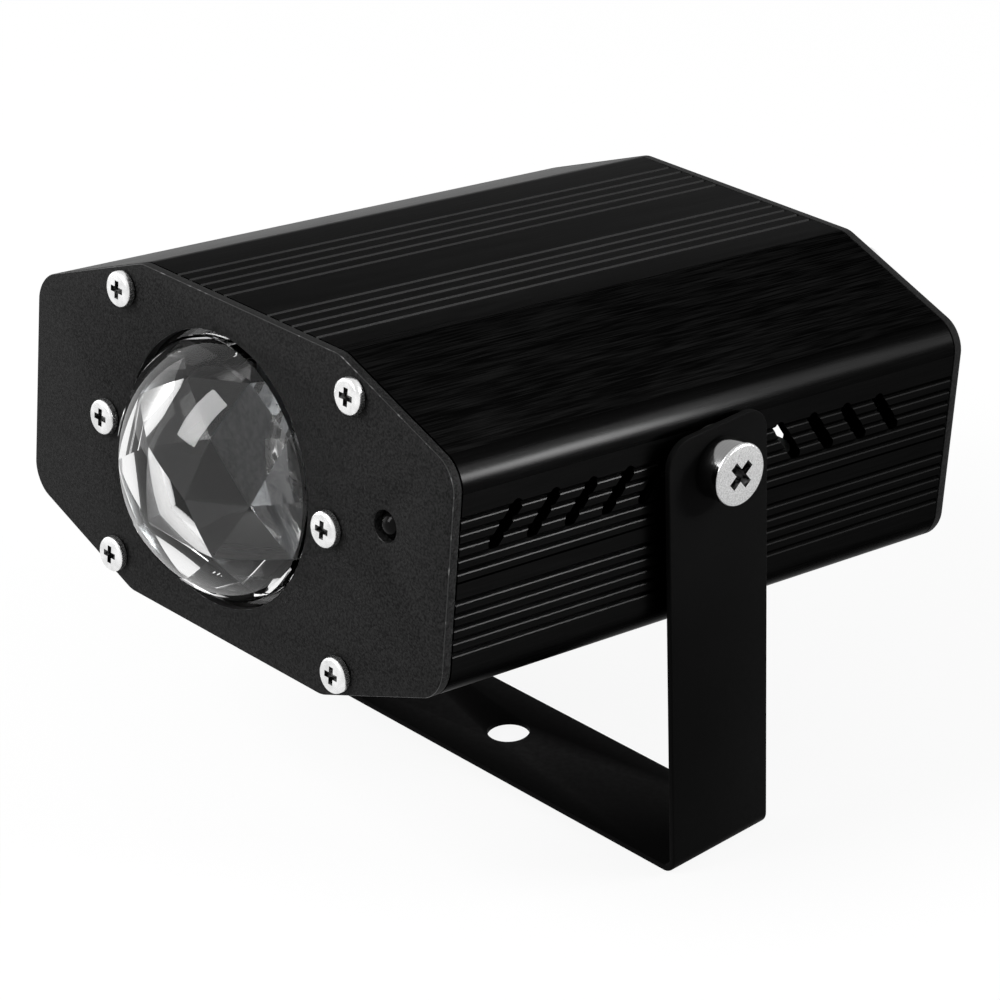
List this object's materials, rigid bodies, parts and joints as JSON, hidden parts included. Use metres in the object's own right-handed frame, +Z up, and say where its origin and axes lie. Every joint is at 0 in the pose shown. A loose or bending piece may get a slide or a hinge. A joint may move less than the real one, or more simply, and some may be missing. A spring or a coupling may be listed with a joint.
{
  "type": "water wave effect light",
  "caption": "Compact stage light that throws rippling water patterns: grooved black aluminium housing with a cut domed lens, tilting on a U bracket.",
  "frame": {"origin": "underside of the bracket's base, midway between the arms", "axes": "+Z up, front plate and lens towards -Y, pivot axis along X"},
  "size_m": [0.106, 0.1174, 0.0873],
  "materials": {
    "black_anodised": "brushed black anodised",
    "black_paint": "matte powder coat",
    "bracket_paint": "satin black",
    "bright_zinc": "bright zinc or nickel plate",
    "dark_steel": "satin",
    "bare_aluminium": "satin",
    "clear_glass": "polished",
    "black_plastic": "fine moulded",
    "gloss_plastic": "dark tinted",
    "black_rubber": "matte",
    "grey_pad": "matte",
    "green_board": "solder mask",
    "brass": "turned",
    "copper": "wound"
  },
  "bodies": {
    "bracket": {"bracket": "bracket_paint"},
    "housing": {"top_shell": "black_anodised", "bottom_shell": "black_anodised", "front_plate": "black_paint", "rear_plate": "black_paint", "front_plate_screw_1": "bright_zinc", "front_plate_screw_2": "bright_zinc", "front_plate_screw_3": "bright_zinc", "front_plate_screw_4": "bright_zinc", "rear_plate_screw_1": "bright_zinc", "rear_plate_screw_2": "bright_zinc", "rear_plate_screw_3": "bright_zinc", "rear_plate_screw_4": "bright_zinc", "lens_screw_1": "bright_zinc", "lens_screw_2": "bright_zinc", "motor_screw_1": "bright_zinc", "motor_screw_2": "bright_zinc", "tube_screw_1": "bright_zinc", "tube_screw_2": "bright_zinc", "pivot_screw_right": "bright_zinc", "pivot_screw_left": "bright_zinc", "pivot_nut_right": "bright_zinc", "pivot_nut_left": "bright_zinc", "power_inlet_nut": "bright_zinc", "mode_switch_nut": "bright_zinc", "disc_motor": "dark_steel", "optics_frame": "bare_aluminium", "led_board": "bare_aluminium", "heat_sink": "bare_aluminium", "front_lens": "clear_glass", "still_ripple_glass": "clear_glass", "condenser_lens": "clear_glass", "led_emitter": "clear_glass", "lens_holder": "black_plastic", "condenser_tube": "black_plastic", "capacitor": "black_plastic", "control_chip": "black_plastic", "board_plug": "black_plastic", "power_inlet": "black_plastic", "mode_switch": "black_plastic", "ir_receiver": "gloss_plastic", "pivot_washer_right": "black_rubber", "pivot_washer_left": "black_rubber", "lens_gasket": "black_rubber", "ir_pad": "black_rubber", "thermal_pad": "grey_pad", "control_board": "green_board", "ir_board": "green_board", "driver_coil": "copper"},
    "disc": {"ripple_disc": "clear_glass", "disc_hub": "brass", "disc_clip": "black_plastic", "motor_shaft": "dark_steel"},
    "button": {"mode_button": "black_plastic"}
  },
  "joints": [
    {"name": "housing_tilt", "type": "hinge", "parent": "bracket", "child": "housing", "pos_m": [0, 0, 0.0636], "axis": [-1, 0, 0], "range_deg": [-65, 30]},
    {"name": "disc_spin", "type": "hinge", "parent": "housing", "child": "disc", "pos_m": [0.0124, -0.03471, 0.0604], "axis": [0, -0.9914, 0.1305], "continuous": true},
    {"name": "button_press", "type": "slide", "parent": "housing", "child": "button", "axis": [0, -0.9914, 0.1305], "range_m": [0, 0.0015], "stiffness_N_per_m": 400, "springref_m": -0.001}
  ]
}
